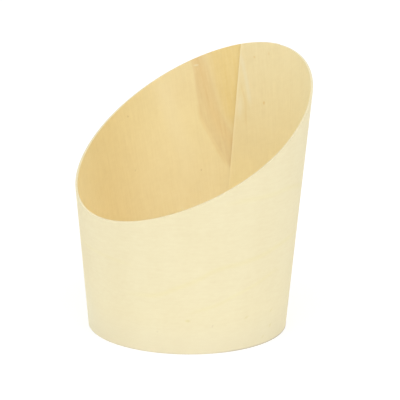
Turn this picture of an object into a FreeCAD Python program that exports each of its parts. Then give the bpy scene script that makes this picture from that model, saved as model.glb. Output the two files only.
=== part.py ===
"""Disposable cup rolled from wood veneer, with a slanted mouth. Millimetres, +Z up.

The origin lies on the cone's axis in the plane of the foot. The rim is highest towards +Y and
lowest towards -Y. Angles are counted from +X towards +Y.
"""
import FreeCAD, Part
import math
import os

import Sketcher

# Driving dimensions: name, value, what it is.
DRIVING_SIZES = [
    ("cup_height", 85.0, "highest point of the rim above the foot"),
    ("rim_low_height", 40.1, "rim above the foot on the low side, straight across from the high one"),
    ("rim_bow", 1.1, "how far the rim's high and low ends curl up out of a plain slant"),
    ("rim_bow_turn", 8.7, "degrees by which that curl is turned from the slant's own direction"),
    ("rim_sway", 0.25, "height of the uneven wave in the cut, three to a turn"),
    ("rim_sway_turn", -11.5, "degrees by which that wave is turned"),
    ("foot_diameter", 62.6, "outside of the single wall at the foot"),
    ("mouth_diameter", 77.5, "outside of the single wall, level with the rim's highest point"),
    ("veneer_thickness", 0.7, "the sheet, square to its face"),
    ("seam_angle", 111.2, "direction of the sheet's inner end, seen inside the cup"),
    ("lap_width", 12.0, "how far the sheet's ends lie over each other, round the foot"),
    ("skive_width", 6.0, "length at the outer end that is planed thinner, round the foot"),
    ("skived_edge", 0.25, "thickness that is left at the outer end"),
    ("base_thickness", 1.5, "the round bottom"),
    ("base_recess", 1.5, "how far the bottom's underside stands above the foot"),
    ("glue_line", 0.05, "gap all round between the bottom and the wall"),
]
RIM_STATIONS = 24

# Sizes that follow from the driving ones, as formulas of the sheet. Directions are in degrees.
FLARE = "((sizes.mouth_diameter - sizes.foot_diameter) / 2 / sizes.cup_height)"
LEAN = f"atan({FLARE})"
WALL = f"(sizes.veneer_thickness / cos({LEAN}))"
BLANK_HEIGHT = "(sizes.cup_height + sizes.veneer_thickness)"
FOOT_RADIUS = "(sizes.foot_diameter / 2)"
SEAM = "sizes.seam_angle"
CLIMB = f"({SEAM} + acos({FOOT_RADIUS} / ({FOOT_RADIUS} + {WALL})) / 1 deg)"
OUTER_END = f"({SEAM} - sizes.lap_width / {FOOT_RADIUS} * 180 / pi)"
SKIVE = f"({OUTER_END} + sizes.skive_width / {FOOT_RADIUS} * 180 / pi)"


def outer_radius(height):
    """Formula for the single wall's outer radius at a height that is itself a formula."""
    return f"({FOOT_RADIUS} + {FLARE} * ({height}))"


def make_size_sheet(doc):
    sheet = doc.addObject("Spreadsheet::Sheet", "sizes")
    for row, (name, value, meaning) in enumerate(DRIVING_SIZES, start=1):
        sheet.set(f"A{row}", meaning)
        sheet.set(f"B{row}", str(value))
        sheet.setAlias(f"B{row}", name)
    doc.recompute()
    return sheet


def number(sheet, formula):
    """Present value of a formula of the sheet."""
    return float(sheet.evalExpression(formula))


def polar(radius, degrees, height=0.0):
    angle = math.radians(degrees)
    return FreeCAD.Vector(radius * math.cos(angle), radius * math.sin(angle), height)


def sketch_at_height(body, name, height):
    """Empty sketch, parallel to the body's own XY plane at the height that a formula gives."""
    level = next(plane for plane in body.Origin.OriginFeatures if plane.Role == "XY_Plane")
    sketch = body.newObject("Sketcher::SketchObject", name)
    sketch.AttachmentSupport = [(level, "")]
    sketch.MapMode = "FlatFace"
    sketch.setExpression("AttachmentOffset.Base.z", height)
    return sketch


def bind(sketch, constraint, name, formula):
    index = sketch.addConstraint(constraint)
    sketch.renameConstraint(index, name)
    sketch.setExpression(f"Constraints.{name}", formula)


class Outline:
    """Closed outline about the axis, whose corners are given by a radius and a direction."""

    def __init__(self, sketch, sheet):
        self.sketch = sketch
        self.sheet = sheet

    def corner(self, radius, direction):
        return polar(number(self.sheet, radius), number(self.sheet, direction))

    def arc(self, name, radius, start, end):
        """Arc about the axis, counter-clockwise from one direction to the other."""
        size = number(self.sheet, radius)
        first = math.radians(number(self.sheet, start))
        last = math.radians(number(self.sheet, end))
        circle = Part.Circle(FreeCAD.Vector(), FreeCAD.Vector(0, 0, 1), size)
        arc = self.sketch.addGeometry(Part.ArcOfCircle(circle, first, last))
        self.sketch.addConstraint(Sketcher.Constraint("Coincident", arc, 3, -1, 1))
        bind(self.sketch, Sketcher.Constraint("Radius", arc, size), name, radius)
        return arc

    def line(self, start, end):
        return self.sketch.addGeometry(Part.LineSegment(start, end))

    def ray(self, name, direction, *ends):
        """Construction line from the axis, whose tip is shared with ends of the outline."""
        tip = self.corner(FOOT_RADIUS, direction)
        ray = self.sketch.addGeometry(Part.LineSegment(FreeCAD.Vector(), tip), True)
        self.join((ray, 1, -1, 1), *((ray, 2, shape, end) for shape, end in ends))
        angle = math.radians(number(self.sheet, direction))
        bind(self.sketch, Sketcher.Constraint("Angle", -1, 1, ray, 1, angle), name, f"{direction} * 1 deg")
        return ray

    def join(self, *pairs):
        for pair in pairs:
            self.sketch.addConstraint(Sketcher.Constraint("Coincident", *pair))

    def step(self, name, line, ray, length):
        """Make a line run straight out from the axis, as long as the formula says."""
        self.sketch.addConstraint(Sketcher.Constraint("PointOnObject", line, 2, ray))
        bind(self.sketch, Sketcher.Constraint("Distance", line, number(self.sheet, length)), name, length)


def draw_outside(sketch, sheet, height):
    """Outside of the rolled sheet: a circle that steps out by one wall over the lap."""
    radius = outer_radius(height)
    raised = f"({radius} + {WALL})"
    edge = f"({radius} + sizes.skived_edge)"
    outline = Outline(sketch, sheet)
    single = outline.arc("wall_radius", radius, CLIMB, f"({OUTER_END} + 360)")
    step = outline.line(outline.corner(radius, OUTER_END), outline.corner(edge, OUTER_END))
    plane = outline.line(outline.corner(edge, OUTER_END), outline.corner(raised, SKIVE))
    doubled = outline.arc("lap_radius", raised, SKIVE, SEAM)
    rise = outline.line(outline.corner(raised, SEAM), outline.corner(radius, CLIMB))
    outline.join((single, 2, step, 1), (step, 2, plane, 1), (plane, 2, doubled, 1),
                 (doubled, 2, rise, 1), (rise, 2, single, 1))
    outline.ray("climb", CLIMB, (single, 1))
    outline.ray("skive", SKIVE, (doubled, 1))
    outline.ray("seam", SEAM, (doubled, 2))
    end_ray = outline.ray("outer_end", OUTER_END, (single, 2))
    outline.step("edge_left", step, end_ray, "sizes.skived_edge")


def draw_inside(sketch, sheet, height):
    """Inside of the rolled sheet: a circle with one step, the sheet's inner end."""
    outside = outer_radius(height)
    radius = f"({outside} - {WALL})"
    outline = Outline(sketch, sheet)
    single = outline.arc("wall_radius", radius, CLIMB, f"({SEAM} + 360)")
    step = outline.line(outline.corner(radius, SEAM), outline.corner(outside, SEAM))
    rise = outline.line(outline.corner(outside, SEAM), outline.corner(radius, CLIMB))
    outline.join((single, 2, step, 1), (step, 2, rise, 1), (rise, 2, single, 1))
    outline.ray("climb", CLIMB, (single, 1))
    seam_ray = outline.ray("seam", SEAM, (single, 2))
    outline.step("sheet_end", step, seam_ray, WALL)


def loft_between(body, kind, name, draw, sheet):
    """Straight-sided loft from the foot to the top of the blank, through one outline at each."""
    outlines = []
    for place, height in (("foot", "0 * sizes.cup_height"), ("top", BLANK_HEIGHT)):
        sketch = sketch_at_height(body, f"{name}_at_{place}", height)
        draw(sketch, sheet, height)
        outlines.append(sketch)
    loft = body.newObject(kind, name)
    loft.Profile = outlines[0]
    loft.Sections = outlines[1:]
    loft.Ruled = True
    body.Document.recompute()
    return loft


def make_rolled_blank(doc, sheet):
    """The sheet rolled to a cone and glued to itself along its lap, before its rim is cut."""
    body = doc.addObject("PartDesign::Body", "rolled_blank")
    loft_between(body, "PartDesign::AdditiveLoft", "outside", draw_outside, sheet)
    loft_between(body, "PartDesign::SubtractiveLoft", "inside", draw_inside, sheet)
    return body


def rim_height(sheet, degrees):
    """Height of the rim in a direction: a slant with curled-up ends and a slight sway."""
    bow, bow_turn = sheet.rim_bow, math.radians(sheet.rim_bow_turn)
    sway, sway_turn = sheet.rim_sway, math.radians(sheet.rim_sway_turn)
    middle = (sheet.cup_height + sheet.rim_low_height) / 2 - bow * math.cos(2 * bow_turn)
    slant = (sheet.cup_height - sheet.rim_low_height) / 2 - sway * math.cos(3 * sway_turn)
    angle = math.radians(degrees)
    curl = -bow * math.cos(2 * (angle - bow_turn)) - sway * math.sin(3 * (angle - sway_turn))
    return middle + slant * math.sin(angle) + curl


def rim_curve(sheet, radius):
    """Closed curve at the rim's height, at one distance from the axis."""
    directions = [360 * station / RIM_STATIONS for station in range(RIM_STATIONS)]
    points = [polar(radius, degrees, rim_height(sheet, degrees)) for degrees in directions]
    curve = Part.BSplineCurve()
    curve.interpolate(Points=points, PeriodicFlag=True)
    return curve.toShape()


def make_rim_offcut(doc, sheet):
    """What is cut away above the rim. Its lower face runs level from the axis outwards, so the
    cut edge stands square to the sheet all the way round, as on a blank that is cut flat."""
    margin = 3 * sheet.veneer_thickness
    within = min(sheet.foot_diameter, sheet.mouth_diameter) / 2 - margin
    beyond = max(sheet.foot_diameter, sheet.mouth_diameter) / 2 + margin
    cut_face = Part.makeRuledSurface(rim_curve(sheet, within), rim_curve(sheet, beyond))
    offcut = doc.addObject("Part::Feature", "rim_offcut")
    offcut.Shape = cut_face.extrude(FreeCAD.Vector(0, 0, sheet.cup_height))
    return offcut


def make_veneer_wall(doc, sheet):
    """The rolled wall with its slanted rim, one piece of veneer."""
    wall = doc.addObject("Part::Cut", "wall_cut_to_rim")
    wall.Base = make_rolled_blank(doc, sheet)
    wall.Tool = make_rim_offcut(doc, sheet)
    wall.Label = "veneer_wall"
    return wall


def make_base_disc(doc, sheet):
    """The round bottom: it tapers with the wall and is glued in just above the foot."""
    body = doc.addObject("PartDesign::Body", "base_body")
    body.Label = "base_disc"
    sketch = sketch_at_height(body, "underside", "sizes.base_recess")
    radius = f"{outer_radius('sizes.base_recess')} - {WALL} - sizes.glue_line"
    size = number(sheet, radius)
    circle = sketch.addGeometry(Part.Circle(FreeCAD.Vector(), FreeCAD.Vector(0, 0, 1), size))
    sketch.addConstraint(Sketcher.Constraint("Coincident", circle, 3, -1, 1))
    bind(sketch, Sketcher.Constraint("Radius", circle, size), "underside_radius", radius)
    pad = body.newObject("PartDesign::Pad", "thickness")
    pad.Profile = sketch
    pad.setExpression("Length", "sizes.base_thickness")
    pad.setExpression("TaperAngle", LEAN)
    doc.recompute()
    return body


def check(doc, pieces):
    """Stop if any object failed, or if a piece is not one valid solid."""
    for thing in doc.Objects:
        if "Invalid" in thing.State or "Error" in thing.State:
            raise RuntimeError(f"{thing.Label} failed: {thing.State}")
    for piece in pieces:
        shape = piece.Shape
        if shape.isNull() or not shape.isValid() or len(shape.Solids) != 1:
            raise RuntimeError(f"{piece.Label} is not one valid solid")


def export(pieces):
    os.makedirs("parts", exist_ok=True)
    for piece in pieces:
        piece.Shape.exportStep(f"parts/{piece.Label}.step")
        box = piece.Shape.BoundBox
        print(f"{piece.Label}: {piece.Shape.Volume:.1f} mm3, {box.XLength:.2f} x {box.YLength:.2f} x "
              f"{box.ZLength:.2f} mm, from Z {box.ZMin:.2f}, {len(piece.Shape.Faces)} faces")


def main():
    doc = FreeCAD.newDocument("wooden_cup")
    sheet = make_size_sheet(doc)
    pieces = [make_veneer_wall(doc, sheet), make_base_disc(doc, sheet)]
    doc.recompute()
    check(doc, pieces)
    export(pieces)


main()
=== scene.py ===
"""Serving cup rolled from one sheet of wood veneer, dressed for its picture.

Metres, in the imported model's own frame: the cone's axis is Z, the foot stands at Z 0 and the rim is
highest towards +Y. Directions are degrees from +X towards +Y. The sheet starts at its outer end, on
the back of the cup, and goes once round and on under itself to its inner end, so a direction along
the sheet runs past 360.
"""

import logging
import math
from dataclasses import dataclass
from enum import Enum
from typing import Callable

import bmesh
import bpy
from bmesh.types import BMEdge, BMFace, BMVert
from bpy.types import Material, NodeSocket, NodeTree, Object
from mathutils import Matrix, Vector


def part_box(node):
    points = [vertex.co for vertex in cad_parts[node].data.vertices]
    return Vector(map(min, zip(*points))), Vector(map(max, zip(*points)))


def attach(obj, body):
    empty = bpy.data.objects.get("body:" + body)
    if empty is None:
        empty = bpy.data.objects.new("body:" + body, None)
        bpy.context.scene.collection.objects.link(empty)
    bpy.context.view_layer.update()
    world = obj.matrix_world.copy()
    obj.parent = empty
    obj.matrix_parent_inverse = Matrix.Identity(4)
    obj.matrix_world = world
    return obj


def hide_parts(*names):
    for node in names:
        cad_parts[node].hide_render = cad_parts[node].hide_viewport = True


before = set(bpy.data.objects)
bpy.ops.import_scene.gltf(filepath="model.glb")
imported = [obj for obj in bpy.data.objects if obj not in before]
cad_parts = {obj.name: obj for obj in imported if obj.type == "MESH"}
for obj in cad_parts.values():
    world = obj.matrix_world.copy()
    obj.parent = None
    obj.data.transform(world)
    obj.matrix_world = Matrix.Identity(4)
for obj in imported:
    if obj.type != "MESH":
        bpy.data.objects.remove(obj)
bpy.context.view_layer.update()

MM = 0.001
IMAGE_WIDTH = 400
FILM_WIDTH = 36.0
WHITE = (1.0, 1.0, 1.0, 1.0)
# The sheet's own map, and the group that holds each point's share of the thickness.
UNROLLED = "unrolled_sheet"
THINNED = "thinned_end"
# A curve node reads 0 to 1, so the map's metres are divided by more than the sheet's length.
MAP_REACH = 0.25
# Nearly all of a noise node's values lie between these two.
NOISE_LOW, NOISE_HIGH = 0.25, 0.75
# Share of a band's length in which each end fades out, and of a fleck's half width that is full.
END_FADE = 0.2
FLECK_CORE = 0.2
# Places of a colour mix's factor, its two colours and its result among the node's sockets.
MIX_FACTOR, MIX_FIRST, MIX_SECOND, MIX_RESULT = 0, 6, 7, 2
# Rounds in which a leaning line of the sheet finds the slanted rim.
RIM_TRIES = 4
# Edges wear where their faces meet at more than this many degrees, and are rounded in two steps.
SHARP_EDGE = 60.0
WORN_STEPS = 2
# A face counts as level where its normal is this much upright.
LEVEL_FACE = 0.9
# Bare wood: the usual refraction of plant fibre, and little shine, because its surface is open.
WOOD_IOR = 1.5
WOOD_SPECULAR = 0.3
MeshPart = BMVert | BMEdge | BMFace
log = logging.getLogger("wooden_cup")


class Side(Enum):
    """The wall's three surfaces, in the order of its material slots."""

    OUTSIDE = 0
    INSIDE = 1
    CUT_EDGE = 2


class Laid(Enum):
    """How a colour goes on the wood: as a stain that tints it, or as a cover that hides it."""

    STAIN = "MULTIPLY"
    COVER = "MIX"


class Pick(Enum):
    """What a selection in edit mode takes."""

    POINTS = "VERT"
    EDGES = "EDGE"
    FACES = "FACE"


def linear(hex_colour: str) -> tuple[float, float, float, float]:
    """Turn an sRGB colour such as #F3E7BF to linear light.

    Args:
        hex_colour: six hex digits after a hash.

    Returns:
        Red, green, blue and a full alpha.
    """
    channels = [int(hex_colour[place:place + 2], 16) / 255 for place in (1, 3, 5)]
    bent = [c / 12.92 if c <= 0.04045 else ((c + 0.055) / 1.055) ** 2.4 for c in channels]
    return (bent[0], bent[1], bent[2], 1.0)


def add_node(tree: NodeTree, kind: str, inputs: dict | None = None, output: int | str = 0,
             **settings: object) -> NodeSocket | None:
    """Add one shader node with its settings, and fill or link its inputs.

    Args:
        tree: the material's or the world's tree.
        kind: the node's type, without its ShaderNode prefix.
        inputs: value or socket for each input, by name or number.
        output: name or number of the output to give back.
        **settings: the node's own properties.

    Returns:
        The output socket, or nothing for a node that has none.
    """
    node = tree.nodes.new("ShaderNode" + kind)
    for name, value in settings.items():
        setattr(node, name, value)
    for place, value in (inputs or {}).items():
        if isinstance(value, NodeSocket):
            tree.links.new(value, node.inputs[place])
        else:
            node.inputs[place].default_value = value
    return node.outputs[output] if node.outputs else None


def new_material(name: str) -> tuple[Material, NodeTree]:
    """Make an empty node material.

    Args:
        name: of the material.

    Returns:
        The material and its tree.
    """
    material = bpy.data.materials.new(name)
    material.use_nodes = True
    material.node_tree.nodes.clear()
    return material, material.node_tree


def around_axis(radius: float, direction: float, height: float) -> Vector:
    """Point at a radius and direction about the cup's axis."""
    angle = math.radians(direction)
    return Vector((radius * math.cos(angle), radius * math.sin(angle), height))


def straight_between(first: float, last: float, whole: float, part: float) -> float:
    """Radius on the straight line between two points about the axis.

    Args:
        first: radius where the line starts.
        last: radius where it ends.
        whole: degrees from its start to its end.
        part: degrees from its start to the place that is wanted.

    Returns:
        The line's radius at that place.
    """
    all_of_it, so_far = math.radians(whole), math.radians(part)
    return first * last * math.sin(all_of_it) / (
        first * math.sin(so_far) + last * math.sin(all_of_it - so_far))


def clear_selection() -> None:
    """Deselect every object."""
    bpy.ops.object.select_all(action="DESELECT")


def select_where(piece: Object, kind: Pick, wanted: Callable[[MeshPart], bool]) -> None:
    """Select in edit mode exactly the points, edges or faces that a test wants.

    Args:
        piece: the object being edited.
        kind: what is selected.
        wanted: says of each point, edge or face whether it is selected.
    """
    bpy.ops.mesh.select_mode(type=kind.value)
    bpy.ops.mesh.select_all(action="DESELECT")
    shape = bmesh.from_edit_mesh(piece.data)
    parts = {Pick.POINTS: shape.verts, Pick.EDGES: shape.edges, Pick.FACES: shape.faces}[kind]
    for part in parts:
        if wanted(part):
            part.select_set(True)
    bmesh.update_edit_mesh(piece.data)


def start_piece(name: str) -> Object:
    """Settle the primitive that was just added at its place, name it and open it for editing.

    Args:
        name: of the piece.

    Returns:
        The object, in edit mode.
    """
    bpy.ops.object.transform_apply(location=True, rotation=True, scale=True)
    piece = bpy.context.object
    piece.name = name
    bpy.ops.object.mode_set(mode="EDIT")
    return piece


def apply_modifier(piece: Object, kind: str, **settings: object) -> None:
    """Add a modifier to the active piece, set it and apply it.

    Args:
        piece: the active object.
        kind: the modifier's type.
        **settings: the modifier's own properties.
    """
    bpy.ops.object.modifier_add(type=kind)
    modifier = piece.modifiers[-1]
    for name, value in settings.items():
        setattr(modifier, name, value)
    bpy.ops.object.modifier_apply(modifier=modifier.name)


def wear_edges(piece: Object, width: float) -> None:
    """Round the active piece's sharp edges, and let its broad faces keep their own shading."""
    apply_modifier(piece, "BEVEL", width=width, segments=WORN_STEPS, limit_method="ANGLE",
                   angle_limit=math.radians(SHARP_EDGE))
    apply_modifier(piece, "WEIGHTED_NORMAL")


@dataclass(frozen=True)
class RolledSheet:
    """The veneer sheet's sizes and how it lies when it is rolled.

    The rim is a slant from its low to its high side, with a bow that curls both up and a slight
    sway, each turned to a direction of its own. The sheet was rolled a few degrees askew, so its
    ends lean, and they have their stated directions only at one level.
    """

    height: float
    low_height: float = 40.1 * MM
    bow: float = 1.1 * MM
    bow_turn: float = 8.7
    sway: float = 0.25 * MM
    sway_turn: float = -11.5
    foot_radius: float = 31.3 * MM
    mouth_radius: float = 38.75 * MM
    thickness: float = 0.7 * MM
    inner_end: float = 111.2
    askew: float = 2.3
    askew_level: float = 55.5 * MM
    lap_width: float = 12.0 * MM
    skive_width: float = 6.1 * MM
    skived_edge: float = 0.25 * MM
    glue_line: float = 0.02 * MM

    @property
    def flare(self) -> float:
        """Growth of the radius for each metre of height."""
        return (self.mouth_radius - self.foot_radius) / self.height

    @property
    def lean(self) -> float:
        """Angle between the wall and the axis, in radians."""
        return math.atan(self.flare)

    @property
    def wall(self) -> float:
        """Level width of the sheet's section."""
        return self.thickness / math.cos(self.lean)

    @property
    def mean_radius(self) -> float:
        """Radius half-way up, which sets the scale of the unrolled map."""
        return (self.foot_radius + self.mouth_radius) / 2

    @property
    def outer_end(self) -> float:
        """Direction in which the sheet starts."""
        return self.inner_end - math.degrees(self.lap_width / self.foot_radius)

    @property
    def skive_end(self) -> float:
        """Direction from which the sheet has its full thickness."""
        return self.outer_end + math.degrees(self.skive_width / self.foot_radius)

    @property
    def settled(self) -> float:
        """Direction in which the sheet is back on the plain cone after its climb over the end."""
        reach = self.foot_radius / (self.foot_radius + self.wall)
        return self.inner_end + math.degrees(math.acos(reach))

    @property
    def sweep(self) -> float:
        """Degrees from the sheet's outer end to its inner one."""
        return 360 + self.inner_end - self.outer_end

    def inner_radius(self, height: float) -> float:
        """Radius of the inner face where the wall is single."""
        return self.foot_radius + self.flare * height - self.wall

    def lift(self, column: float, height: float) -> float:
        """Say how far the sheet's inner face lies outside the plain cone.

        Args:
            column: direction along the sheet, from its outer end on.
            height: above the foot.

        Returns:
            Zero on the single wall, one thickness and the glue over the lap, and between them the
            straight climb of a stiff sheet.
        """
        low = self.inner_radius(height)
        high = low + self.wall + self.glue_line
        if column <= self.inner_end:
            return high - low
        if column >= self.settled:
            return 0.0
        return straight_between(high, low, self.settled - self.inner_end, column - self.inner_end) - low

    def fullness(self, column: float) -> float:
        """Say how much of the sheet's thickness is left.

        The outer end is planed flat on its outside, and the rest of the lap gives up the thickness
        of its glue.

        Args:
            column: direction along the sheet, from its outer end on.

        Returns:
            Share of the full thickness.
        """
        below = self.inner_radius(self.rim_height(column)) + self.wall
        outside = below + self.wall
        if column < self.skive_end:
            outside = straight_between(below + self.skived_edge, outside,
                                       self.skive_end - self.outer_end, column - self.outer_end)
        glue = self.glue_line if column < self.inner_end else 0.0
        return (outside - below - glue) / self.wall

    def rim_height(self, direction: float) -> float:
        """Say how high the rim is, from its slant, its curled-up ends and its sway.

        Args:
            direction: about the axis.

        Returns:
            Height above the foot.
        """
        bow_turn, sway_turn = math.radians(self.bow_turn), math.radians(self.sway_turn)
        middle = (self.height + self.low_height) / 2 - self.bow * math.cos(2 * bow_turn)
        slant = (self.height - self.low_height) / 2 - self.sway * math.cos(3 * sway_turn)
        angle = math.radians(direction)
        curl = -self.bow * math.cos(2 * (angle - bow_turn)) - self.sway * math.sin(3 * (angle - sway_turn))
        return middle + slant * math.sin(angle) + curl

    def turned(self, level: float) -> float:
        """Degrees that the sheet is turned by at a level, because it was rolled a little askew."""
        away = (self.askew_level - level) * math.tan(math.radians(self.askew))
        return math.degrees(away / self.mean_radius)

    def crest(self, column: float) -> tuple[float, float]:
        """Find where one of the sheet's own straight lines meets the rim.

        Args:
            column: the line's direction where the sheet isn't turned.

        Returns:
            The direction and the height of the meeting.
        """
        direction = column
        for _ in range(RIM_TRIES):
            direction = column + self.turned(self.rim_height(direction))
        return direction, self.rim_height(direction)

    def unrolled(self, direction: float, height: float) -> tuple[float, float]:
        """Place on the unrolled sheet: metres from its outer end, and metres up its slope."""
        along = math.radians(direction - self.outer_end) * self.mean_radius
        return along, height / math.cos(self.lean)


@dataclass(frozen=True)
class Grain:
    """A layer of streaks or spots, drawn from their real length and width.

    Its weight says how far it shifts the shade of the ground, its tilt is degrees from level, its
    detail is how many finer noises lie in it, and its wander bends it.
    """

    length: float
    width: float
    weight: float = 1.0
    tilt: float = 0.0
    detail: float = 2.0
    wander: float = 0.0

    def draw(self, wood: "WoodSurface") -> NodeSocket:
        """Draw the layer.

        Args:
            wood: the surface that it lies on.

        Returns:
            Socket from 0 to 1, even about a half.
        """
        turned = add_node(wood.tree, "Mapping", {
            "Vector": wood.place, "Rotation": (0.0, 0.0, math.radians(self.tilt)),
            "Scale": (self.length, self.width, 1.0),
        }, vector_type="TEXTURE")
        noise = add_node(wood.tree, "TexNoise", {
            "Vector": turned, "Scale": 1.0, "Detail": self.detail, "Distortion": self.wander,
        }, noise_dimensions="2D")
        return add_node(wood.tree, "MapRange", {
            "Value": noise, "From Min": NOISE_LOW, "From Max": NOISE_HIGH,
        })


@dataclass(frozen=True)
class Fleck:
    """A pin knot, a torn fibre or a nick: turns in degrees, height and size in millimetres."""

    direction: float
    height: float
    length: float
    width: float
    strength: float
    tilt: float = 0.0

    def mask(self, wood: "WoodSurface") -> NodeSocket:
        """Draw the fleck as a soft-edged oval.

        Args:
            wood: the surface that it lies on.

        Returns:
            Socket that is the fleck's strength in its middle and 0 outside it.
        """
        along, up = wood.sheet.unrolled(self.direction, self.height * MM)
        centred = add_node(wood.tree, "Mapping", {
            "Vector": wood.place, "Location": (along, up, 0.0),
            "Rotation": (0.0, 0.0, math.radians(self.tilt)),
            "Scale": (self.length / 2 * MM, self.width / 2 * MM, 1.0),
        }, vector_type="TEXTURE")
        away = add_node(wood.tree, "VectorMath", {0: centred}, "Value", operation="LENGTH")
        return wood.overlap(wood.between(away, 1.0, FLECK_CORE), self.strength)


@dataclass(frozen=True)
class Flecks:
    """Flecks of one kind, all in the same colour."""

    colour: str
    each: tuple[Fleck, ...]
    laid: Laid = Laid.STAIN

    def draw(self, wood: "WoodSurface") -> None:
        """Lay the flecks on the wood."""
        for fleck in self.each:
            wood.lay(fleck.mask(wood), self.colour, self.laid)


@dataclass(frozen=True)
class GrainLine:
    """A line of the figure through a few points: directions in degrees, heights in millimetres.

    A steep line is a curve over the height, and a level one is a curve along the sheet.
    """

    points: tuple[tuple[float, float], ...]
    steep: bool = True

    def knots(self, wood: "WoodSurface") -> list[tuple[float, float]]:
        """The line's points on the map, as metres of run and of rise, in order of the run."""
        places = [wood.sheet.unrolled(direction, height * MM) for direction, height in self.points]
        return sorted((up, along) if self.steep else (along, up) for along, up in places)

    def run(self, wood: "WoodSurface") -> NodeSocket:
        """Place along the line: up the slope for a steep line, along the sheet for a level one."""
        return wood.up if self.steep else wood.along

    def beyond(self, wood: "WoodSurface") -> NodeSocket:
        """Measure from the line.

        Args:
            wood: the surface that it lies on.

        Returns:
            Metres past a steep line along the sheet, or above a level one.
        """
        knots = self.knots(wood)
        rise = wood.along if self.steep else wood.up
        share = add_node(wood.tree, "Math", {0: self.run(wood), 1: 1 / MAP_REACH}, operation="MULTIPLY")
        course = add_node(wood.tree, "FloatCurve", {"Value": share})
        curve = course.node.mapping.curves[0]
        for point, (x, y) in zip(curve.points, (knots[0], knots[-1])):
            point.location = (x / MAP_REACH, y / MAP_REACH)
        for x, y in knots[1:-1]:
            curve.points.new(x / MAP_REACH, y / MAP_REACH)
        course.node.mapping.update()
        return add_node(wood.tree, "Math", {0: course, 1: -MAP_REACH, 2: rise}, operation="MULTIPLY_ADD")


@dataclass(frozen=True, kw_only=True)
class Band(GrainLine):
    """A soft band of colour along a line of the figure, its width in millimetres."""

    width: float
    strength: float = 1.0
    colour: str
    laid: Laid = Laid.STAIN

    def draw(self, wood: "WoodSurface") -> None:
        """Lay the band on the wood, faded out at both its ends.

        Args:
            wood: the surface that it lies on.
        """
        knots, run = self.knots(wood), self.run(wood)
        first, last = knots[0][0], knots[-1][0]
        fade = (last - first) * END_FADE
        away = add_node(wood.tree, "Math", {0: self.beyond(wood)}, operation="ABSOLUTE")
        mask = wood.overlap(wood.between(away, self.width / 2 * MM, 0.0),
                            wood.between(run, first, first + fade),
                            wood.between(run, last, last - fade), self.strength)
        wood.lay(mask, self.colour, self.laid)


class WoodSurface:
    """One wood surface while it is drawn, stain by stain: its tree, its map and its colour so far."""

    def __init__(self, name: str, sheet: RolledSheet | None = None) -> None:
        """Start the material.

        Args:
            name: the material's name.
            sheet: whose unrolled map the surface is drawn on. Without one it is drawn in the
                piece's own space.
        """
        self.material, self.tree = new_material(name)
        self.sheet = sheet
        if sheet:
            self.place = add_node(self.tree, "UVMap", uv_map=UNROLLED)
        else:
            self.place = add_node(self.tree, "TexCoord", output="Object")
        split = add_node(self.tree, "SeparateXYZ", {0: self.place}).node
        self.along, self.up = split.outputs["X"], split.outputs["Y"]
        self.colour: NodeSocket | None = None

    def between(self, value: NodeSocket, none: float, full: float) -> NodeSocket:
        """Mask that grows softly from 0 where the value is none to 1 where it is full."""
        return add_node(self.tree, "MapRange", {"Value": value, "From Min": none, "From Max": full},
                        interpolation_type="SMOOTHSTEP")

    def overlap(self, *masks: NodeSocket | float) -> NodeSocket:
        """Keep what all the masks share.

        Args:
            *masks: masks and strengths, the first of them a mask.

        Returns:
            Their product.
        """
        product = masks[0]
        for mask in masks[1:]:
            product = add_node(self.tree, "Math", {0: product, 1: mask}, operation="MULTIPLY")
        return product

    def streaked(self, grain: Grain, least: float) -> NodeSocket:
        """Strength from least to 1 that follows a layer of grain."""
        return add_node(self.tree, "MapRange", {"Value": grain.draw(self), "To Min": least})

    def lay(self, mask: NodeSocket, colour: str, laid: Laid = Laid.STAIN) -> None:
        """Lay a colour on the wood where the mask says."""
        self.colour = add_node(self.tree, "Mix", {
            MIX_FACTOR: mask, MIX_FIRST: self.colour, MIX_SECOND: linear(colour),
        }, MIX_RESULT, data_type="RGBA", blend_type=laid.value)


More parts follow.
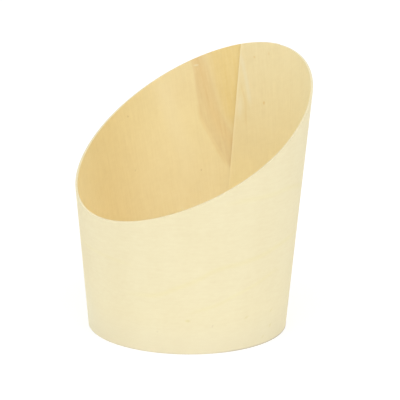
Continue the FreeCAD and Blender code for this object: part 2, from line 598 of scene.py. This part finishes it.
@dataclass(frozen=True)
class Heartwood:
    """A strip of brown heartwood near the sheet's outer end, and the amber wood beside it.

    The knife has cut the tree's pale rings at a slant there, so the strip crosses the sheet
    steeply. It runs through the veneer and shows on both faces, weaker on the outside. Its core is
    a shade deeper, and the wood from it to the outer end is a paler brown, amber towards the rim.
    """

    strength: float
    far_side: GrainLine = GrainLine((
        (137.0, 82.0), (135.0, 78.0), (133.0, 73.2), (131.7, 67.2), (130.3, 62.5), (128.4, 58.5),
        (123.5, 53.2), (119.7, 49.5), (115.8, 45.8), (112.6, 42.8), (104.0, 36.0)))
    near_side: GrainLine = GrainLine((
        (129.0, 83.0), (127.2, 78.0), (125.2, 74.8), (122.8, 69.8), (120.5, 65.8), (118.0, 61.2),
        (115.2, 57.5), (112.4, 54.8), (104.0, 48.5)))
    amber_side: GrainLine = GrainLine((
        (124.5, 82.0), (121.0, 75.3), (118.0, 67.2), (113.6, 59.8), (108.0, 53.0)))
    brown: str = "#F4ECE5"
    core: str = "#FEFAF4"
    amber: str = "#FDF8E3"
    beside: float = 0.45
    soft: float = 0.5 * MM
    core_width: float = 6.0 * MM
    amber_spread: float = 4.0 * MM
    amber_fade: float = 9.0 * MM
    amber_foot: float = 52.0 * MM
    fibres: Grain = Grain(9 * MM, 0.8 * MM, tilt=76, detail=4)
    fibres_least: float = 0.65

    def draw(self, wood: WoodSurface) -> None:
        """Stain the strip, the wood beside it, its darker core and the amber wood.

        Args:
            wood: the surface that they lie on.
        """
        blurred = 2 * self.soft
        far, near = self.far_side.beyond(wood), self.near_side.beyond(wood)
        fibres = wood.streaked(self.fibres, self.fibres_least)
        ripe = wood.between(far, self.soft, -self.soft)
        strip = wood.overlap(ripe, wood.between(near, -self.soft, blurred))
        wood.lay(wood.overlap(strip, fibres, self.strength), self.brown)
        beside = wood.between(near, blurred, -self.soft)
        wood.lay(wood.overlap(ripe, beside, self.strength * self.beside), self.brown)
        middle = self.core_width / 2
        core = wood.overlap(strip, wood.between(near, self.core_width, middle),
                            wood.between(near, 0.0, middle), fibres)
        wood.lay(wood.overlap(core, self.strength), self.core)
        past = wood.between(near, self.soft, -blurred)
        edge = wood.between(self.amber_side.beyond(wood), self.amber_spread, -blurred)
        rising = wood.between(wood.up, self.amber_foot, self.amber_foot + self.amber_fade)
        wood.lay(wood.overlap(past, edge, rising, fibres, self.strength), self.amber)


@dataclass(frozen=True, kw_only=True)
class BareWood:
    """Wood that is left bare: two colours with grain between them, and the relief of the grain."""

    name: str
    deep: str
    pale: str
    grain: tuple[Grain, ...]
    relief: Grain
    relief_depth: float = 0.004 * MM
    roughness: float = 0.65
    sheet: RolledSheet | None = None

    def material(self) -> Material:
        """Draw the wood: its ground, its figure, and matt fibre with the relief of its grain.

        Returns:
            The material.
        """
        wood = WoodSurface(self.name, self.sheet)
        wood.colour = self.ground(wood)
        self.draw_figure(wood)
        normal = add_node(wood.tree, "Bump", {
            "Strength": 1.0, "Distance": self.relief_depth, "Height": self.relief.draw(wood),
        })
        shader = add_node(wood.tree, "BsdfPrincipled", {
            "Base Color": wood.colour, "Roughness": self.roughness, "IOR": WOOD_IOR,
            "Specular IOR Level": WOOD_SPECULAR, "Normal": normal,
        })
        add_node(wood.tree, "OutputMaterial", {"Surface": shader})
        return wood.material

    def ground(self, wood: WoodSurface) -> NodeSocket:
        """Blend the two colours by the weighted layers of grain.

        Args:
            wood: the surface, still blank.

        Returns:
            The ground's colour.
        """
        shade = 0.5 - sum(layer.weight for layer in self.grain) / 2
        for layer in self.grain:
            shade = add_node(wood.tree, "Math", {0: layer.draw(wood), 1: layer.weight, 2: shade},
                             operation="MULTIPLY_ADD")
        return add_node(wood.tree, "Mix", {
            MIX_FACTOR: shade, MIX_FIRST: linear(self.deep), MIX_SECOND: linear(self.pale),
        }, MIX_RESULT, data_type="RGBA")

    def draw_figure(self, wood: WoodSurface) -> None:
        """Draw what lies on the ground, which is nothing on plain wood."""


@dataclass(frozen=True, kw_only=True)
class InsideVeneer(BareWood):
    """Poplar veneer, rotary-cut and left bare, on the face that is rolled inwards.

    The knife leaves it smooth and matt. Fine streaks run steeply in it, nearly even in brightness.
    Its figure is the knife's slanting cut through the rings: the strip of heartwood with a pale
    band beside it, a broad warm band, a pale flame at the inner end, a few pin knots. Painted shade
    darkens broad bands on both sides of the seam, and painted light brightens one round direction 40.
    The wood is yellower high up, except near the inner end, where it is greyer, and a painted
    highlight runs along that end's edge.
    """

    name: str = "rotary_cut_poplar_inside"
    deep: str = "#F5E6BB"
    pale: str = "#FDF0C8"
    # Poplar's pores are less than 0.1 mm wide and a pixel of the picture is 0.3 mm, so the finest
    # streaks stand for rows of pores and are drawn 0.4 to 0.6 mm wide, as narrow as still show.
    grain: tuple[Grain, ...] = (
        Grain(7 * MM, 0.6 * MM, 0.4, tilt=82, detail=4),
        Grain(2.4 * MM, 1.3 * MM, 0.3, tilt=150, detail=3),
        Grain(45 * MM, 3 * MM, 0.3, tilt=80, wander=0.6),
        Grain(9 * MM, 7 * MM, 0.25),
    )
    relief: Grain = Grain(20 * MM, 0.4 * MM, tilt=84)
    yellow: str = "#FDF9E7"
    yellow_foot: float = 22.0 * MM
    yellow_full: float = 74.0 * MM
    yellow_until: float = 360.0
    grey: str = "#FEFCF1"
    grey_from: float = 420.0
    warm_band: Band = Band(((180, 82), (184, 52), (184, 30), (182, 12)), width=48, colour="#F7F2E8")
    # These two bands are painted shade that darkens the wall on both sides of the seam.
    painted_shade_past_seam: Band = Band(((140, 130), (140, 55)), width=46, colour="#FBF9FB")
    painted_shade_at_inner_end: Band = Band(((470, 110), (466, 40)), width=40, colour="#FAF9F9")
    # This pale band is painted light on the inner wall round direction 40.
    painted_light_band: Band = Band(
        ((402, 100), (400, 10)), width=46, strength=0.25, colour="#FFF8CC", laid=Laid.COVER)
    pale_band: Band = Band(
        ((151.5, 75), (150, 72), (144, 58), (137, 45), (133, 34)),
        width=10, strength=0.3, colour="#FDF0C8", laid=Laid.COVER)
    heartwood: Heartwood = Heartwood(1.0)
    heart_rim: Band = Band(
        ((131.2, 64), (130.3, 61.5), (128.4, 57.5), (123.5, 52.2), (119.7, 48.5), (115.8, 44.8),
         (112.6, 41.8)), width=2.2, strength=0.3, colour="#EEDDC4")
    flame: Band = Band(
        ((469.5, 81), (468.2, 78.2), (467.1, 75.8), (464.9, 71.2), (463.3, 67.2), (461.8, 63)),
        width=2.4, strength=0.5, colour="#F4EBCB", laid=Laid.COVER)
    ripple: Band = Band(
        ((468.4, 72), (467.6, 69.2), (465.5, 65.8), (464.4, 60.5), (463.8, 56)),
        width=1.4, strength=0.35, colour="#F5EBCF")
    pin_knots: Flecks = Flecks("#F2E0B2", (
        Fleck(461.4, 79.8, 1.3, 1.0, 0.45, 60),
        Fleck(452.9, 81.5, 1.8, 1.2, 0.25, 80),
        Fleck(453.7, 65.5, 1.7, 1.1, 0.65, 90),
    ))
    specks: Flecks = Flecks("#D8D0C0", (
        Fleck(128.4, 41.3, 1.1, 0.8, 0.4, 90),
        Fleck(169.0, 60.0, 1.1, 0.9, 0.45, 60),
        Fleck(166.0, 42.0, 1.1, 0.8, 0.3, 90),
    ))
    # The fleck at 139 degrees is a standing fibre drawn pale as the painted glint on it; the others are
    # pale flecks of the wood.
    pale_flecks_and_glint: Flecks = Flecks("#FBF3D8", (
        Fleck(132.0, 75.8, 2.4, 1.0, 0.45, 170),
        Fleck(139.0, 28.5, 1.5, 0.9, 0.3, 40),
        Fleck(468.2, 63.0, 10.0, 3.0, 0.3, 90),
    ), Laid.COVER)
    # The pale strip along the inner end's edge is a painted highlight, where that edge catches the light.
    edge_highlight: str = "#FFF4D0"
    edge_highlight_width: float = 0.9 * MM
    edge_highlight_strength: float = 0.35

    def end_line(self) -> GrainLine:
        """The sheet's inner end, which leans because the sheet was rolled askew."""
        column, levels = self.sheet.outer_end + self.sheet.sweep, (0.0, self.sheet.height)
        return GrainLine(tuple((column + self.sheet.turned(level), level / MM) for level in levels))

    def draw_figure(self, wood: WoodSurface) -> None:
        """Draw the yellow and grey parts, the figure, and the painted light, shade and highlight.

        Args:
            wood: the inner face, with its ground laid.
        """
        yellow_until, _ = self.sheet.unrolled(self.yellow_until, 0.0)
        grey_from, _ = self.sheet.unrolled(self.grey_from, 0.0)
        outer_part = wood.between(wood.along, grey_from, yellow_until)
        rising = wood.between(wood.up, self.yellow_foot, self.yellow_full)
        wood.lay(wood.overlap(outer_part, rising), self.yellow)
        wood.lay(wood.between(wood.along, yellow_until, grey_from), self.grey)
        for mark in (self.warm_band, self.painted_shade_past_seam, self.painted_shade_at_inner_end, self.painted_light_band, self.pale_band,
                     self.heartwood, self.heart_rim, self.flame, self.ripple, self.pin_knots,
                     self.specks, self.pale_flecks_and_glint):
            mark.draw(wood)
        # Painted highlight along the inner end's edge.
        near_end = wood.between(self.end_line().beyond(wood), -self.edge_highlight_width, 0.0)
        wood.lay(wood.overlap(near_end, self.edge_highlight_strength), self.edge_highlight, Laid.COVER)


@dataclass(frozen=True, kw_only=True)
class OutsideVeneer(BareWood):
    """The same bare rotary-cut poplar on the face that is rolled outwards: paler and quieter.

    Here the rings lie nearly flat in the sheet. The grain is level, a few faint yellow lines
    follow a slow swell, and the fibres have torn out in short flecks near the foot. The heartwood
    shows through. The foot has painted light on the left, painted shade in front, and a thin painted
    contact shadow along its lowest edge, darkest on the right.
    """

    name: str = "rotary_cut_poplar_outside"
    deep: str = "#F2E5BC"
    pale: str = "#F9EFC9"
    # As on the inside, the finest streaks stand for rows of pores and are drawn 0.45 to 0.7 mm
    # wide, because the pores themselves are too fine for the picture.
    grain: tuple[Grain, ...] = (
        Grain(5 * MM, 0.7 * MM, 0.3, detail=4),
        Grain(2.0 * MM, 1.2 * MM, 0.25, tilt=20, detail=3),
        Grain(40 * MM, 4 * MM, 0.15, wander=0.5),
        Grain(10 * MM, 30 * MM, 0.3),
    )
    relief: Grain = Grain(14 * MM, 0.45 * MM)
    heartwood: Heartwood = Heartwood(0.5)
    swells: tuple[Band, ...] = (
        Band(((275, 17), (282, 18), (300, 19), (310, 21.5), (320, 24), (330, 27), (345, 28.5),
              (355, 29.5), (370, 31.5), (385, 32.5), (400, 33)),
             steep=False, width=2.8, strength=0.26, colour="#FDFCE0"),
        Band(((312, 12.5), (320, 14), (332, 16), (340, 18), (355, 21), (365, 23), (375, 24)),
             steep=False, width=2.2, strength=0.2, colour="#FDFCE0"),
        Band(((330, 47), (340, 48), (360, 48.5), (375, 49), (390, 47.5), (400, 46)),
             steep=False, width=2.8, strength=0.2, colour="#FDFCE0"),
        Band(((225, 29), (235, 29.5), (250, 29), (275, 28), (290, 27)),
             steep=False, width=2.0, strength=0.15, colour="#FDFCE0"),
    )
    yellow_flecks: Flecks = Flecks("#F3F0D0", (
        Fleck(315.5, 11.0, 2.4, 1.3, 0.6),
        Fleck(349.0, 10.5, 2.6, 1.1, 0.45, 25),
        Fleck(368.0, 10.5, 2.4, 1.1, 0.4, 25),
        Fleck(368.5, 5.5, 2.6, 1.4, 0.65, 35),
        Fleck(362.5, 2.5, 2.4, 1.2, 0.6, 30),
    ))
    brown_flecks: Flecks = Flecks("#B9A08C", (
        Fleck(329.0, 9.0, 1.4, 0.8, 0.18, 70),
        Fleck(299.0, 7.0, 1.1, 0.8, 0.14),
    ))
    # Painted light on the left of the foot, where light from the table falls on it.
    foot_painted_light: Band = Band(((140, 3), (265, 3)), steep=False, width=36, strength=0.6,
                           colour="#FAF5D6", laid=Laid.COVER)
    # Painted shade low on the front of the foot, near the table.
    foot_painted_shade: Band = Band(((215, 0), (410, 0)), steep=False, width=26, strength=0.5,
                           colour="#EFE6C9", laid=Laid.COVER)
    # A thin painted contact shadow along the foot's lowest edge, stronger on the right.
    foot_contact_shadow: Band = Band(((225, 0), (300, 0), (350, 0), (405, 0)), steep=False, width=1.1,
                           strength=0.4, colour="#D4D0D8")
    foot_contact_shadow_right: Band = Band(((328, 0), (350, 0), (375, 0), (400, 0.3), (414, 0.4)), steep=False,
                              width=1.3, strength=0.9, colour="#D4D0D8")

    def draw_figure(self, wood: WoodSurface) -> None:
        """Draw the heartwood, the swells, the flecks, and the foot's painted light and shade.

        Args:
            wood: the outer face, with its ground laid.
        """
        for mark in (self.heartwood, *self.swells, self.yellow_flecks, self.brown_flecks,
                     self.foot_painted_light, self.foot_painted_shade, self.foot_contact_shadow, self.foot_contact_shadow_right):
            mark.draw(wood)


@dataclass(frozen=True, kw_only=True)
class CutEdge(BareWood):
    """The veneer's edge, cut across its fibres with a blade.

    It shows open fibre ends: a fine even mottle, rougher than the faces, that swallows some light.
    """

    name: str = "blade_cut_poplar_edge"
    deep: str = "#DDD1AA"
    pale: str = "#E9DEBC"
    # Single fibre ends are 0.03 mm wide, too fine for the picture, and are drawn as spots of 0.5 mm.
    grain: tuple[Grain, ...] = (
        Grain(0.5 * MM, 0.5 * MM, 0.5, detail=3),
        Grain(6 * MM, 6 * MM, 0.4),
    )
    relief: Grain = Grain(0.3 * MM, 0.3 * MM)
    relief_depth: float = 0.01 * MM
    roughness: float = 0.8


@dataclass(frozen=True, kw_only=True)
class DiscWood(BareWood):
    """Flat-sawn poplar of the round bottom: long straight streaks across the disc."""

    name: str = "flat_sawn_poplar_bottom"
    deep: str = "#E8D8AC"
    pale: str = "#F4E7C3"
    # The rows of pores are drawn as coarse here as on the wall.
    grain: tuple[Grain, ...] = (
        Grain(26 * MM, 0.5 * MM, 0.3, tilt=32, detail=3),
        Grain(70 * MM, 4 * MM, 0.5, tilt=32, wander=0.8),
    )
    relief: Grain = Grain(20 * MM, 0.5 * MM, tilt=32)
    relief_depth: float = 0.005 * MM


@dataclass(frozen=True)
class Station:
    """Where one point of the sheet belongs.

    Its column is its direction along the sheet. Its direction and level are where it lies about
    the axis, once the sheet is turned askew and cut to the rim.
    """

    index: int
    column: float
    direction: float
    level: float


@dataclass
class VeneerWall:
    """The wall: one sheet rolled up, glued to itself over the lap, its rim cut on a slant."""

    sheet: RolledSheet
    turn_steps: int = 306
    rows: int = 24
    worn_edge: float = 0.08 * MM

    @property
    def step(self) -> float:
        """Degrees between two columns."""
        return self.sheet.sweep / self.turn_steps

    @property
    def foot_level(self) -> float:
        """Height of the inner face's foot: the cut is square to the leaning sheet."""
        return self.sheet.thickness * math.sin(self.sheet.lean)

    def toe(self, column: float) -> tuple[float, float]:
        """Direction and height at which one of the sheet's own straight lines stands on the foot."""
        return column + self.sheet.turned(self.foot_level), self.foot_level

    def build(self) -> Object:
        """Model and dress the wall.

        Returns:
            The finished piece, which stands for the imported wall.
        """
        piece = self.stand_end_edge()
        self.roll(piece)
        stations = self.stations(piece)
        self.lay_and_cut(piece, stations)
        self.unroll_map(piece, stations)
        self.divide_rows(piece)
        self.dress(piece)
        self.thicken(piece)
        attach(piece, "root")
        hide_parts("veneer_wall")
        return piece

    def stand_end_edge(self) -> Object:
        """Stand the sheet's outer end up as one edge, from a plane of the sheet's height.

        Returns:
            The edge, in edit mode.
        """
        end = self.sheet.outer_end
        height = self.sheet.height - self.foot_level
        middle_radius = self.sheet.inner_radius(self.foot_level) + height / 2
        clear_selection()
        bpy.ops.mesh.primitive_plane_add(
            size=height, calc_uvs=False, rotation=(math.pi / 2, 0.0, math.radians(end)),
            location=around_axis(middle_radius, end, self.foot_level + height / 2),
        )
        piece = start_piece("rolled_wall")
        select_where(piece, Pick.POINTS, lambda point: point.co.xy.length > middle_radius)
        bpy.ops.mesh.delete(type="VERT")
        select_where(piece, Pick.POINTS, lambda point: point.co.z > height / 2)
        bpy.ops.transform.translate(value=around_axis(self.sheet.flare * height, end, 0.0))
        return piece

    def roll(self, piece: Object) -> None:
        """Spin the edge round to the inner end. A spin turns clockwise, so its axis points down.

        Args:
            piece: the standing edge, in edit mode.
        """
        bpy.ops.mesh.select_all(action="SELECT")
        bpy.ops.mesh.spin(steps=self.turn_steps, angle=math.radians(self.sheet.sweep),
                          center=(0.0, 0.0, 0.0), axis=(0.0, 0.0, -1.0))
        bpy.ops.mesh.select_all(action="SELECT")
        first = next(iter(bmesh.from_edit_mesh(piece.data).faces))
        if first.normal.dot(first.calc_center_median()) < 0:
            bpy.ops.mesh.flip_normals()

    @staticmethod
    def upright(edge: BMEdge) -> bool:
        """Whether an edge runs up the wall and not round it."""
        low, high = edge.verts
        return abs(low.co.z - high.co.z) > (low.co.xy - high.co.xy).length

    def columns(self, piece: Object) -> list[tuple[int, int]]:
        """Follow the sheet from its outer end.

        Args:
            piece: the rolled sheet, in edit mode, one face high.

        Returns:
            The indices of each column's foot and top point, in order.
        """
        shape = bmesh.from_edit_mesh(piece.data)
        start = around_axis(1.0, self.sheet.outer_end, 0.0)
        ends = [edge for edge in shape.edges if len(edge.link_faces) == 1 and self.upright(edge)]
        edge = max(ends, key=lambda end: end.verts[0].co.xy.normalized().dot(start.xy))
        face = None
        found = []
        while edge:
            found.append(tuple(point.index for point in sorted(edge.verts, key=lambda point: point.co.z)))
            face = next((near for near in edge.link_faces if near is not face), None)
            taken = set(edge.verts)
            edge = next((far for far in face.edges if not taken & set(far.verts)), None) if face else None
        return found

    def stations(self, piece: Object) -> list[Station]:
        """Work out where each point of the sheet belongs.

        Args:
            piece: the rolled sheet, in edit mode, one face high.

        Returns:
            The foot's and the top's station of each column, from the outer end on.
        """
        found = []
        for number, (foot, top) in enumerate(self.columns(piece)):
            column = self.sheet.outer_end + number * self.step
            found.append(Station(foot, column, *self.toe(column)))
            found.append(Station(top, column, *self.sheet.crest(column)))
        return found

    def lay_and_cut(self, piece: Object, stations: list[Station]) -> None:
        """Lift the lap off the layer below it, and bring each column's top down to the rim.

        Args:
            piece: the rolled sheet, in edit mode.
            stations: where its points belong.
        """
        for place in stations:
            radius = self.sheet.inner_radius(place.level) + self.sheet.lift(place.column, place.level)
            select_where(piece, Pick.POINTS, lambda point: point.index == place.index)
            point = next(p for p in bmesh.from_edit_mesh(piece.data).verts if p.select)
            bpy.ops.transform.translate(value=around_axis(radius, place.direction, place.level) - point.co)

    def unroll_map(self, piece: Object, stations: list[Station]) -> None:
        """Give each point its place on the unrolled sheet and its share of the thickness.

        Args:
            piece: the rolled sheet, in edit mode, which it leaves.
            stations: where its points belong.
        """
        spots = {place.index: self.sheet.unrolled(place.direction, place.level) for place in stations}
        bpy.ops.object.mode_set(mode="OBJECT")
        unrolled = piece.data.uv_layers.new(name=UNROLLED)
        for loop in piece.data.loops:
            unrolled.data[loop.index].uv = spots[loop.vertex_index]
        thinned = piece.vertex_groups.new(name=THINNED)
        for place in stations:
            thinned.add([place.index], self.sheet.fullness(place.column), "REPLACE")

    def divide_rows(self, piece: Object) -> None:
        """Cut the tall faces into rows, so that the thickness and the shading run true.

        Args:
            piece: the rolled sheet, one face high.
        """
        bpy.ops.object.mode_set(mode="EDIT")
        select_where(piece, Pick.EDGES, self.upright)
        bpy.ops.mesh.subdivide(number_cuts=self.rows - 1)
        bpy.ops.object.mode_set(mode="OBJECT")

    def dress(self, piece: Object) -> None:
        """Put one finish on each surface, in the order of the sides.

        Args:
            piece: the rolled sheet.
        """
        finishes = {Side.OUTSIDE: OutsideVeneer(sheet=self.sheet),
                    Side.INSIDE: InsideVeneer(sheet=self.sheet), Side.CUT_EDGE: CutEdge()}
        for side in Side:
            piece.data.materials.append(finishes[side].material())

    def thicken(self, piece: Object) -> None:
        """Give the sheet its thickness, outwards and square to its face, and wear its edges.

        Args:
            piece: the rolled sheet, still without a thickness.
        """
        bpy.ops.object.shade_smooth()
        apply_modifier(piece, "SOLIDIFY", thickness=self.sheet.thickness, offset=1.0, use_rim=True,
                       vertex_group=THINNED, material_offset=Side.INSIDE.value,
                       material_offset_rim=Side.CUT_EDGE.value)
        wear_edges(piece, self.worn_edge)


@dataclass
class BottomDisc:
    """The round bottom that is glued inside the foot and tapers with the wall."""

    sheet: RolledSheet
    facets: int = 192
    worn_edge: float = 0.12 * MM
    ring_width: float = 1.0 * MM

    def build(self) -> Object:
        """Model and dress the bottom.

        Returns:
            The finished piece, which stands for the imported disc.
        """
        piece = self.cut_disc(*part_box("base_disc"))
        bpy.ops.object.shade_smooth()
        wear_edges(piece, self.worn_edge)
        piece.data.materials.append(DiscWood().material())
        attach(piece, "root")
        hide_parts("base_disc")
        return piece

    def cut_disc(self, low: Vector, high: Vector) -> Object:
        """Cut the disc, taper it with the wall, and keep a narrow ring of face along its edges.

        Args:
            low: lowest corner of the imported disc.
            high: its highest corner.

        Returns:
            The disc, its edges still sharp.
        """
        middle, thickness = (high.z + low.z) / 2, high.z - low.z
        clear_selection()
        bpy.ops.mesh.primitive_cylinder_add(
            vertices=self.facets, radius=high.x, depth=thickness,
            location=(0.0, 0.0, middle), end_fill_type="NGON", calc_uvs=False,
        )
        piece = start_piece("bottom_disc")
        select_where(piece, Pick.POINTS, lambda point: point.co.z < middle)
        narrowing = 1 - self.sheet.flare * thickness / high.x
        bpy.ops.transform.resize(value=(narrowing, narrowing, 1.0), center_override=(0.0, 0.0, low.z))
        select_where(piece, Pick.FACES, lambda face: abs(face.normal.z) > LEVEL_FACE)
        bpy.ops.mesh.inset(thickness=self.ring_width)
        bpy.ops.object.mode_set(mode="OBJECT")
        return piece


@dataclass
class PhotoCamera:
    """The camera of the photograph: where it stands, what it looks at, and its long lens."""

    direction: float = -44.79
    distance: float = 547.17 * MM
    height: float = 184.03 * MM
    aim_direction: float = 45.21
    aim_offset: float = 3.649 * MM
    aim_height: float = 39.956 * MM
    roll: float = 0.636
    focal_pixels: float = 1810.5

    def build(self) -> Object:
        """Set the camera up and make it the scene's.

        Returns:
            The camera object.
        """
        stand = around_axis(self.distance, self.direction, self.height)
        aim = around_axis(self.aim_offset, self.aim_direction, self.aim_height)
        bpy.ops.object.camera_add(location=stand)
        camera = bpy.context.object
        camera.name = "photo_camera"
        level = (aim - stand).to_track_quat("-Z", "Y")
        rolled = Matrix.Rotation(math.radians(self.roll), 3, "Z").to_quaternion()
        camera.rotation_euler = (level @ rolled).to_euler()
        camera.data.sensor_width = FILM_WIDTH
        camera.data.lens = FILM_WIDTH * self.focal_pixels / IMAGE_WIDTH
        bpy.context.scene.camera = camera
        return camera


@dataclass(frozen=True)
class SoftLamp:
    """A large square lamp that faces the middle of the foot."""

    name: str
    direction: float
    steepness: float
    share: float
    reach: float = 3.0
    size: float = 3.0

    @property
    def share_on_table(self) -> float:
        """Its light on the level table, as a share of full white."""
        return self.share * math.sin(math.radians(self.steepness))

    @property
    def share_of_view(self) -> float:
        """Share of full white that it would cast on a facing sheet if it were as bright as a sky."""
        slant = self.size / math.hypot(self.size, 2 * self.reach)
        return 4 / math.pi * slant * math.atan(slant)

    def build(self) -> Object:
        """Hang the lamp.

        Returns:
            The lamp, whose light on a sheet that faces it is its share of full white.
        """
        angle = math.radians(self.steepness)
        stand = around_axis(self.reach * math.cos(angle), self.direction, self.reach * math.sin(angle))
        bpy.ops.object.light_add(type="AREA", location=stand)
        lamp = bpy.context.object
        lamp.name = self.name
        lamp.rotation_euler = stand.to_track_quat("Z", "Y").to_euler()
        lamp.data.size = self.size
        lamp.data.energy = self.share * math.pi * self.size ** 2 / self.share_of_view
        return lamp


@dataclass
class Studio:
    """A wide pale table under an even white sky, with a soft lamp on each side and a weak one behind.

    Where the table is seen it is white with a light shadow. Its shadow_depth says how strongly
    missing light shows there, and its overshoot how much may be missing before the white gives way.
    """

    table_radius: float = 2.0
    table_thickness: float = 0.04
    table_facets: int = 128
    table_colour: str = "#F4F4F4"
    shadow_depth: float = 0.45
    overshoot: float = 0.09
    sky: float = 0.518
    lamps: tuple[SoftLamp, ...] = (
        SoftLamp("lamp_right", -5.0, 50.0, 0.304),
        SoftLamp("lamp_left", -95.0, 50.0, 0.260),
        SoftLamp("lamp_behind", 135.0, 65.0, 0.131),
    )

    def build(self) -> Object:
        """Light the scene and lay the table.

        Returns:
            The table.
        """
        self.white_sky()
        for lamp in self.lamps:
            lamp.build()
        table = self.cut_table()
        table.data.materials.append(self.table_finish())
        return table

    def white_sky(self) -> None:
        """Even light from all sides, plain white where it is seen."""
        world = bpy.data.worlds.new("white_sky")
        bpy.context.scene.world = world
        world.use_nodes = True
        tree = world.node_tree
        tree.nodes.clear()
        strength = add_node(tree, "MapRange", {"Value": self.seen_directly(tree), "To Min": self.sky})
        sky = add_node(tree, "Background", {"Color": WHITE, "Strength": strength})
        add_node(tree, "OutputWorld", {"Surface": sky})

    @staticmethod
    def seen_directly(tree: NodeTree) -> NodeSocket:
        """Tell what is looked at from what only lights the scene.

        Args:
            tree: the material's or the world's tree.

        Returns:
            Socket that is 1 for rays from the camera and those that gloss or glass passes on.
        """
        rays = add_node(tree, "LightPath").node.outputs
        seen = rays["Is Camera Ray"]
        for kind in ("Is Glossy Ray", "Is Transmission Ray"):
            seen = add_node(tree, "Math", {0: seen, 1: rays[kind]}, operation="MAXIMUM")
        return seen

    def cut_table(self) -> Object:
        """Make the table: a round slab whose top is level with the cup's foot.

        Returns:
            The slab, still without a finish.
        """
        clear_selection()
        bpy.ops.mesh.primitive_circle_add(
            vertices=self.table_facets, radius=self.table_radius, fill_type="NGON",
            location=(0.0, 0.0, -self.table_thickness),
        )
        table = start_piece("pale_table")
        bpy.ops.mesh.select_all(action="SELECT")
        bpy.ops.mesh.extrude_region_move(TRANSFORM_OT_translate={"value": (0.0, 0.0, self.table_thickness)})
        bpy.ops.mesh.select_all(action="SELECT")
        bpy.ops.mesh.normals_make_consistent(inside=False)
        bpy.ops.object.mode_set(mode="OBJECT")
        return table

    def table_finish(self) -> Material:
        """Draw a pale matt table that is white where it is seen, apart from a light shadow.

        Returns:
            Its material.
        """
        material, tree = new_material("pale_table")
        seen = self.seen_directly(tree)
        shade = add_node(tree, "Mix", {
            MIX_FACTOR: seen, MIX_FIRST: linear(self.table_colour),
            MIX_SECOND: (self.shadow_depth, self.shadow_depth, self.shadow_depth, 1.0),
        }, MIX_RESULT, data_type="RGBA")
        matt = add_node(tree, "BsdfDiffuse", {"Color": shade})
        light = self.sky + sum(lamp.share_on_table for lamp in self.lamps)
        white = 1 + self.overshoot - self.shadow_depth * light
        lift = add_node(tree, "Math", {0: seen, 1: white}, operation="MULTIPLY")
        glow = add_node(tree, "Emission", {"Color": WHITE, "Strength": lift})
        both = add_node(tree, "AddShader", {0: matt, 1: glow})
        add_node(tree, "OutputMaterial", {"Surface": both})
        return material


def main() -> None:
    """Build the camera, the cup's two pieces and the studio, in that order."""
    bpy.context.scene.view_settings.view_transform = "Standard"
    PhotoCamera().build()
    sheet = RolledSheet(height=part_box("veneer_wall")[1].z)
    for maker in (VeneerWall(sheet), BottomDisc(sheet)):
        piece = maker.build()
        log.info("%s: %d faces", piece.name, len(piece.data.polygons))
    table = Studio().build()
    log.info("%s is laid", table.name)


if __name__ == "__main__":
    logging.basicConfig(level=logging.INFO, format="%(message)s")
    main()
